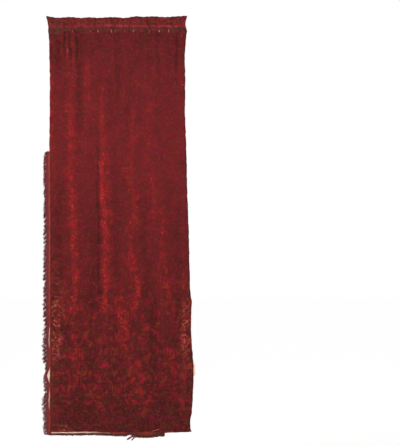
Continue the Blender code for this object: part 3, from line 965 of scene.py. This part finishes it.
def braid_look(name, dull, bright):
    """Plaited braid; bright is mixed in by the mark called tone."""
    look = Look(name, 0.85, sheen=0.1, sheen_colour=rgb(150, 60, 50), specular=0.04)
    x, below = look.uv()
    plait = (below * PLAIT_DOWN + abs(x) * PLAIT_ACROSS).sine() * 0.5 + 0.5
    speckle = look.noise(260.0, 3.0, roughness=0.7)
    patch = look.noise(22.0, 3.0)
    # The tone mark is painted highlight on the side cord and partly on the bottom braid.
    share = look.mark("tone") * patch.ramp(0.30, 0.60, 0.55, 1.05) + (speckle - 0.5) * 0.5
    colour = look.mix(share, dull, bright)
    colour = look.mix(plait * 0.30, colour, rgb(62, 26, 24))
    return look.finish(colour, plait * 0.6 + speckle * 0.4, 0.0008)


def yarn_look(name, dark, light):
    look = Look(name, 0.8, sheen=0.05, sheen_colour=rgb(120, 80, 78), specular=0.03)
    look.use_object_place()
    speckle = look.noise(500.0, 2.0)
    colour = look.mix(look.mark("tone"), dark, light)
    colour = look.mix(speckle.ramp(0.5, 0.8) * 0.3, colour, rgb(34, 18, 18))
    return look.finish(colour, speckle, 0.0004)


# Pieces


def velvet_panel():
    """The face cloth: a fine front and a plainer back."""
    heading_rows = np.linspace(0.0, FINE_HEADING_TO, 53)
    body_rows = np.linspace(FINE_HEADING_TO, FINE_HEM_FROM, 333)[1:]
    hem_rows = np.linspace(FINE_HEM_FROM, HEM_BELOW, 17)[1:]
    below = np.concatenate([heading_rows, body_rows, hem_rows])
    shares = np.linspace(0.0, 1.0, CLOTH_COLUMNS)
    below, across = np.meshgrid(below, shares, indexing="ij")
    x, z = edge_x(across, below), cloth_z(across, below)
    y = cloth_y(across, below)
    from_side = np.minimum(across, 1 - across) * (x[:, -1] - x[:, 0])[:, None]
    from_edge = np.minimum(from_side, np.minimum(below, HEM_BELOW - below))
    rounding = 0.0007 * np.exp(-from_edge / 0.002)
    front = np.stack([x, y - heading_relief(across, below) + rounding, z], axis=-1)
    back = np.stack([x, y + VELVET_THICK + turned(below), z], axis=-1)
    # crest carries painted highlight, light and dull carry painted shade, and worn carries painted
    # highlight along the raised line of sewing.
    marks = {
        "crest": streaks(RUBBED_AND_HIGHLIT, x, below),
        "light": pile_tone_and_painted_light(across, x, below),
        "dull": dull_and_painted_shade_places(across, below),
        "worn": worn_and_highlit_places(across, below),
        "cracked": cracked_places(across, below),
    }
    uv = np.stack([x, below], axis=-1)
    return closed_sheet(
        "drape_velvet", front, back, uv, velvet_look(), marks, row_step=4, column_step=2
    )


def lining():
    """The cream lining behind the velvet, wider than it where it shows beside the fringe."""
    body_rows = np.linspace(LINING_STARTS_BELOW, LINING_FINE_FROM, 90)
    hem_rows = np.linspace(LINING_FINE_FROM, HEM_BELOW, 60)[1:]
    downs = np.concatenate([body_rows, hem_rows])
    shares = np.linspace(0.0, 1.0, CLOTH_COLUMNS)
    below, across = np.meshgrid(downs, shares, indexing="ij")
    x = edge_x(across, below)
    x[:, 0] -= along(SECTIONS, "lining_left", downs)
    x[:, -1] += along(SECTIONS, "lining_right", downs)
    by_hem = smooth_step(HEM_BELOW - 0.05, HEM_BELOW, downs)[:, None]
    z = cloth_z(across, below) + eased(LINING_HEM, shares) * by_hem
    y = cloth_y(across, below) + VELVET_THICK + turned(below) + LINING_GAP
    front = np.stack([x, y, z], axis=-1)
    back = front + np.array([0.0, LINING_THICK, 0.0])
    uv = np.stack([x, below], axis=-1)
    return closed_sheet("drape_lining", front, back, uv, lining_look())


def at_left_edge(below):
    """Where the velvet's left edge is at each height, from left to right and in depth."""
    share = np.zeros_like(below)
    return edge_x(share, below), cloth_y(share, below)


def side_band(name, outer, inner, bulge, rows, look, tone):
    """A raised band down the left edge, between two reaches outside that edge."""
    below, share = np.meshgrid(rows, np.linspace(0.0, 1.0, BAND_COLUMNS), indexing="ij")
    edge = at_left_edge(rows)[0]
    x = edge[:, None] - outer[:, None] + (outer - inner)[:, None] * share
    on_cloth = np.clip(x - edge[:, None], 0, None)
    depth = cloth_y(np.clip(on_cloth / CLOTH_WIDE, 0, 1), below)
    plait = 0.00035 * wave(below, 0.0060, abs(share - 0.5) * 9.0)
    raised = (bulge + plait) * np.sqrt(np.clip(1 - (2 * share - 1) ** 2, 0, 1))
    front = np.stack([x, depth - 0.0011 - raised, -below], axis=-1)
    back = np.stack([x, depth - 0.0006 + 0 * share, -below], axis=-1)
    uv = np.stack([x - edge[:, None], below], axis=-1)
    return closed_sheet(name, front, back, uv, look, {"tone": tone(share, below)})


def side_cord():
    """The cord that lies along the velvet's left edge."""
    rows = np.linspace(SIDE_STARTS_BELOW + 0.004, SIDE_ENDS_BELOW, 900)
    outer = along(SIDE_STRETCHES, "cord", rows)
    inner = np.full_like(rows, -CORD_ON_VELVET)
    # The cord's bright colour is laid on as painted highlight by its tone mark.
    look = braid_look("side_cord", rgb(96, 40, 34), rgb(162, 68, 60))
    return side_band("side_cord", outer, inner, 0.0016, rows, look, cord_painted_light)


def cord_painted_light(share, below):
    """Painted highlight along the cord's middle, weaker low down, and painted shade at the side
    that meets the velvet.
    """
    lit = 1.05 - 0.45 * smooth_step(1.60, 2.10, below)
    return lit * bell(share - 0.34, 0.30) - 0.10 * smooth_step(0.6, 1.0, share)


def side_braid():
    """The braid beside the cord, which the yarns hang from."""
    rows = np.linspace(SIDE_STARTS_BELOW, SIDE_ENDS_BELOW, 700)
    outer = along(SIDE_STRETCHES, "root", rows) + 0.002
    inner = along(SIDE_STRETCHES, "inner", rows)
    look = braid_look("side_braid", rgb(116, 50, 60), rgb(142, 42, 42))
    return side_band("side_braid", outer, inner, 0.0007, rows, look, braid_tone)


def braid_tone(share, below):
    return 0.05 + 0.85 * share + 0.12 * wave(below, 0.31)


def brush(name, roots, clump_place, backing, reach, lean, gather, rng):
    """Yarns from their roots, which lean left and are drawn to the middle of their clump."""
    t = np.linspace(0, 1, YARN_STEPS)
    count = len(roots)
    way = np.stack([-np.sin(lean), 0 * lean, -np.cos(lean)], axis=-1)
    paths = roots[:, None] + (way * reach[:, None])[:, None] * t[:, None]
    drawn = (clump_place * gather)[:, None, None] * np.array(backing)
    paths = paths - drawn * (t**1.3)[:, None]
    bend = rng.normal(0, YARN_BEND, (count, 1, 3))
    paths = paths + bend * np.sin(math.pi * t)[:, None]
    radii = np.linspace(YARN_ROOT_RADIUS, YARN_TIP_RADIUS, YARN_STEPS)
    radii = np.repeat(radii[None], count, axis=0)
    look = yarn_look(name, rgb(84, 41, 42), rgb(154, 72, 76))
    tones = rng.normal(0.24, 0.22, (count, 1)) + 0.35 * (1 - t) ** 2
    return tubes(name, paths, radii, YARN_SIDES, look, np.clip(tones, 0, 1))


def side_yarns():
    """The brush of yarns outside the side braid, in uneven clumps."""
    rng = np.random.default_rng(5)
    pitch, each = 0.0270, 34
    count = int((SIDE_ENDS_BELOW - SIDE_STARTS_BELOW - 0.006) / pitch)
    clump = np.repeat(SIDE_STARTS_BELOW + pitch * (np.arange(count) + 0.5), each)
    place = (np.tile(np.arange(each), count) + rng.uniform(0.2, 0.8, count * each)) / each - 0.5
    root = clump + place * pitch
    edge, depth = at_left_edge(root)
    start = along(SIDE_STRETCHES, "root", root)
    sideways = along(SIDE_STRETCHES, "tip", root) - start
    vary = np.repeat(rng.uniform(0.90, 1.06, count), each)
    lean = SIDE_LEAN + np.repeat(rng.normal(0, 0.08, count), each) + rng.normal(0, 0.16, len(root))
    reach = (sideways + 0.004) * vary * rng.uniform(0.80, 1.12, len(root)) / np.sin(SIDE_LEAN)
    layer = rng.uniform(-0.0012, 0.0016, len(root))
    roots = np.stack([edge - start + 0.003, depth - 0.0008 + layer, -root], axis=-1)
    gather = along(SIDE_STRETCHES, "gather", clump)
    return brush("side_yarns", roots, -place * pitch, (0, 0, 1), reach, lean, gather, rng)


def hem_depth(x):
    """The depth of the velvet's front at the hem, at places across the hung cloth."""
    across = (x - SECTIONS[-1].left) / (SECTIONS[-1].right - SECTIONS[-1].left)
    return cloth_y(np.clip(across, 0, 1), np.full_like(x, HEM_BELOW))


def bottom_braid():
    """The braid under the hem, torn off at its right end."""
    across = np.linspace(BOTTOM_STRETCHES[0].across, BOTTOM_STRETCHES[-1].across, 420)
    share = np.linspace(0.0, 1.0, 11)
    share, x = np.meshgrid(share, across, indexing="ij")
    top = along(BOTTOM_STRETCHES, "top", across) + 0.0005 * wave(across, 0.071)
    low = along(BOTTOM_STRETCHES, "low", across) - 0.0025 + 0.0006 * wave(across, 0.043, 1.0)
    z = -(top + (low - top) * share)
    plait = 0.00035 * wave(x, 0.0070, share * 5.0)
    raised = (0.0016 + plait) * np.sqrt(np.clip(1 - (2 * share - 1) ** 2, 0, 1))
    depth = hem_depth(across) + 0.0004 + 0 * share
    front = np.stack([x, depth - 0.0010 - raised, z], axis=-1)
    back = np.stack([x, depth + 0.0006, z], axis=-1)
    # Redder along the upper half: the braid's red, partly a painted highlight.
    red = along(BOTTOM_STRETCHES, "red", across) * smooth_step(0.85, 0.25, share)
    look = braid_look("bottom_braid", rgb(72, 38, 32), rgb(136, 52, 46))
    uv = np.stack([-z, x], axis=-1)
    return closed_sheet("bottom_braid", front, back, uv, look, {"tone": red})


def bottom_yarns():
    """The short yarns along the bottom, and the loose tuft near the middle."""
    rng = np.random.default_rng(8)
    pitch, each = 0.0095, 9
    starts, ends = BOTTOM_STRETCHES[0].across, BOTTOM_STRETCHES[-1].across
    count = int((ends - starts) / pitch)
    clump = np.repeat(starts + pitch * (np.arange(count) + 0.5), each)
    place = (np.tile(np.arange(each), count) + rng.uniform(0.2, 0.8, count * each)) / each - 0.5
    root = clump + place * pitch
    low = along(BOTTOM_STRETCHES, "low", clump)
    depth = hem_depth(root) + rng.uniform(-0.0016, 0.0006, len(root))
    roots = np.stack([root, depth, -(low - 0.006)], axis=-1)
    vary = np.repeat(rng.uniform(0.7, 1.2, count), each)
    reach = 0.0080 * vary * rng.uniform(0.8, 1.15, len(root))
    lean = 0.45 + rng.normal(0, 0.15, len(root))
    gather = np.full(len(root), 0.3)

    tufts = rows_of(
        "from_x from_below to_x to_below yarns",
        (0.120, 2.736, 0.070, 2.769, 26),
        (0.126, 2.745, 0.096, 2.773, 22),
    )
    for tuft in tufts:
        spread = rng.uniform(-0.5, 0.5, tuft.yarns)
        x = tuft.from_x + 0.007 * spread
        depth = hem_depth(x) - 0.0022 + rng.uniform(-0.001, 0.001, tuft.yarns)
        roots = np.concatenate([roots, np.stack([x, depth, -tuft.from_below + 0 * x], axis=-1)])
        side, drop = tuft.from_x - tuft.to_x, tuft.to_below - tuft.from_below
        lean = np.concatenate([lean, math.atan2(side, drop) + rng.normal(0, 0.05, tuft.yarns)])
        long = math.hypot(side, drop) * rng.uniform(0.85, 1.05, tuft.yarns)
        reach = np.concatenate([reach, long])
        place = np.concatenate([place, spread])
        gather = np.concatenate([gather, np.full(tuft.yarns, 0.3)])
    return brush("bottom_yarns", roots, place * pitch, (1, 0, 0), reach, lean, gather, rng)


def heading_stitches():
    """The small stitches that hold some of the pinches, each of three strands."""
    stitches = rows_of(
        "place tone long thick",
        (-0.391, 0.00, 0.010, 0.0009),
        (-0.287, 0.30, 0.014, 0.0010),
        (-0.172, 0.25, 0.012, 0.0010),
        (-0.122, 0.50, 0.015, 0.0017),
        (-0.033, 0.60, 0.020, 0.0010),
        (-0.006, 0.15, 0.021, 0.0011),
        (0.052, 0.10, 0.018, 0.0009),
        (0.111, 0.60, 0.014, 0.0013),
        (0.168, 0.00, 0.016, 0.0015),
        (0.216, 0.20, 0.019, 0.0010),
        (0.280, 0.90, 0.013, 0.0012),
        (0.342, 0.55, 0.020, 0.0012),
        (0.402, 0.10, 0.012, 0.0009),
    )
    t = np.linspace(0, 1, STITCH_STEPS)
    paths, radii, tones = [], [], []
    for number, stitch in enumerate(stitches):
        for strand in (-1, 0, 1):
            share = np.full(STITCH_STEPS, pinch_share(stitch.place + 0.0018 * strand))
            below = PINCH_ROW_BELOW + stitch.long * (t - 0.6)
            below = below + 0.0010 * math.sin(5.0 * number + strand)
            y = cloth_y(share, below) - heading_relief(share, below)
            y = y - 0.0024 * np.sin(math.pi * t) + 0.0006
            paths.append(np.stack([edge_x(share, below), y, cloth_z(share, below)], axis=-1))
            radii.append(np.full(STITCH_STEPS, stitch.thick))
            tones.append(stitch.tone)
    look = yarn_look("stitch_thread", rgb(156, 44, 54), rgb(204, 118, 120))
    return tubes("heading_stitches", np.array(paths), np.array(radii), 6, look, tones)


def stray_threads():
    """Loose threads at the right edge, a pulled one, and the curled end of cord at the hem."""
    strays = rows_of(
        "across below way_x way_z curl thick tone",
        (0.990, 0.440, 0.012, 0.004, 0.003, 0.0008, 0.6),
        (0.985, 0.448, -0.010, 0.006, 0.002, 0.0008, 0.5),
        (0.992, 1.222, 0.014, 0.005, 0.003, 0.0008, 0.6),
        (0.988, 1.235, 0.008, -0.008, 0.003, 0.0008, 0.5),
        (0.136, 0.204, 0.001, -0.026, 0.0004, 0.0006, 0.8),
        (0.960, 0.115, 0.006, -0.010, 0.002, 0.0008, 0.4),
        (0.720, 2.716, 0.056, 0.018, 0.0012, 0.0028, 0.0),
    )
    t = np.linspace(0, 1, STRAY_STEPS)
    paths, radii, tones = [], [], []
    for stray in strays:
        share = np.full(STRAY_STEPS, stray.across)
        below = np.full(STRAY_STEPS, stray.below)
        x = edge_x(share, below) + stray.way_x * t + stray.curl * np.sin(5.0 * t)
        z = cloth_z(share, below) + stray.way_z * t + stray.curl * np.sin(4.0 * t + 1.0) * t
        y = cloth_y(share, below) - 0.0005 - 0.0040 * np.sin(math.pi * t)
        paths.append(np.stack([x, y, z], axis=-1))
        radii.append(stray.thick * (1 - 0.4 * abs(2 * t - 1) ** 3))
        tones.append(stray.tone)
    look = yarn_look("loose_thread", rgb(166, 76, 74), rgb(226, 190, 160))
    return tubes("stray_threads", np.array(paths), np.array(radii), 6, look, tones)


# Floor, light and camera


def stage():
    lowest = cad_box[0][2]
    bpy.ops.mesh.primitive_plane_add(size=60.0, location=(0.0, 0.0, lowest - FLOOR_BELOW_DRAPE))
    floor = bpy.context.object
    floor.name = "floor"
    look = bpy.data.materials.new("pale_floor")
    look.use_nodes = True
    look.node_tree.nodes["Principled BSDF"].inputs["Base Color"].default_value = (0.99, 0.99, 0.99, 1)
    look.node_tree.nodes["Principled BSDF"].inputs["Roughness"].default_value = 0.9
    floor.data.materials.append(look)

    world = bpy.data.worlds.new("studio")
    world.use_nodes = True
    world.node_tree.nodes["Background"].inputs["Color"].default_value = (1, 1, 1, 1)
    bpy.context.scene.world = world

    lamps = rows_of(
        "name at aim size power",
        ("key", (-3.2, -4.0, 1.2), (0.0, 0.0, -1.2), 2.0, 60.0),
        ("fill", (4.0, -5.0, 0.0), (0.0, 0.0, -1.4), 3.0, 12.0),
    )
    for lamp in lamps:
        data = bpy.data.lights.new(lamp.name, "AREA")
        data.energy, data.size = lamp.power, lamp.size
        made = bpy.data.objects.new(lamp.name, data)
        made.location = lamp.at
        way = Vector(lamp.aim) - Vector(lamp.at)
        made.rotation_euler = way.to_track_quat("-Z", "Y").to_euler()
        bpy.context.scene.collection.objects.link(made)


def camera():
    data = bpy.data.cameras.new("camera")
    data.sensor_width = SENSOR_MM
    data.lens = SENSOR_MM * CAMERA_AWAY / PICTURE_HIGH
    data.clip_end = 200.0
    made = bpy.data.objects.new("camera", data)
    made.location = (PICTURE_MIDDLE[0], -CAMERA_AWAY, PICTURE_MIDDLE[1])
    made.rotation_euler = (math.radians(90), 0, 0)
    bpy.context.scene.collection.objects.link(made)
    bpy.context.scene.camera = made


camera()
stage()
bpy.context.scene.view_settings.view_transform = "Standard"

velvet = velvet_panel()
cream = lining()
fringe = (side_cord(), side_braid(), side_yarns())
low_fringe = (bottom_braid(), bottom_yarns())
threads = (heading_stitches(), stray_threads())

for piece in (velvet, cream, *fringe, *low_fringe, *threads):
    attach(piece, "root")
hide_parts("velvet_panel")
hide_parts("lining")
for piece in fringe:
    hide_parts("side_fringe")
for piece in low_fringe:
    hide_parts("bottom_fringe")
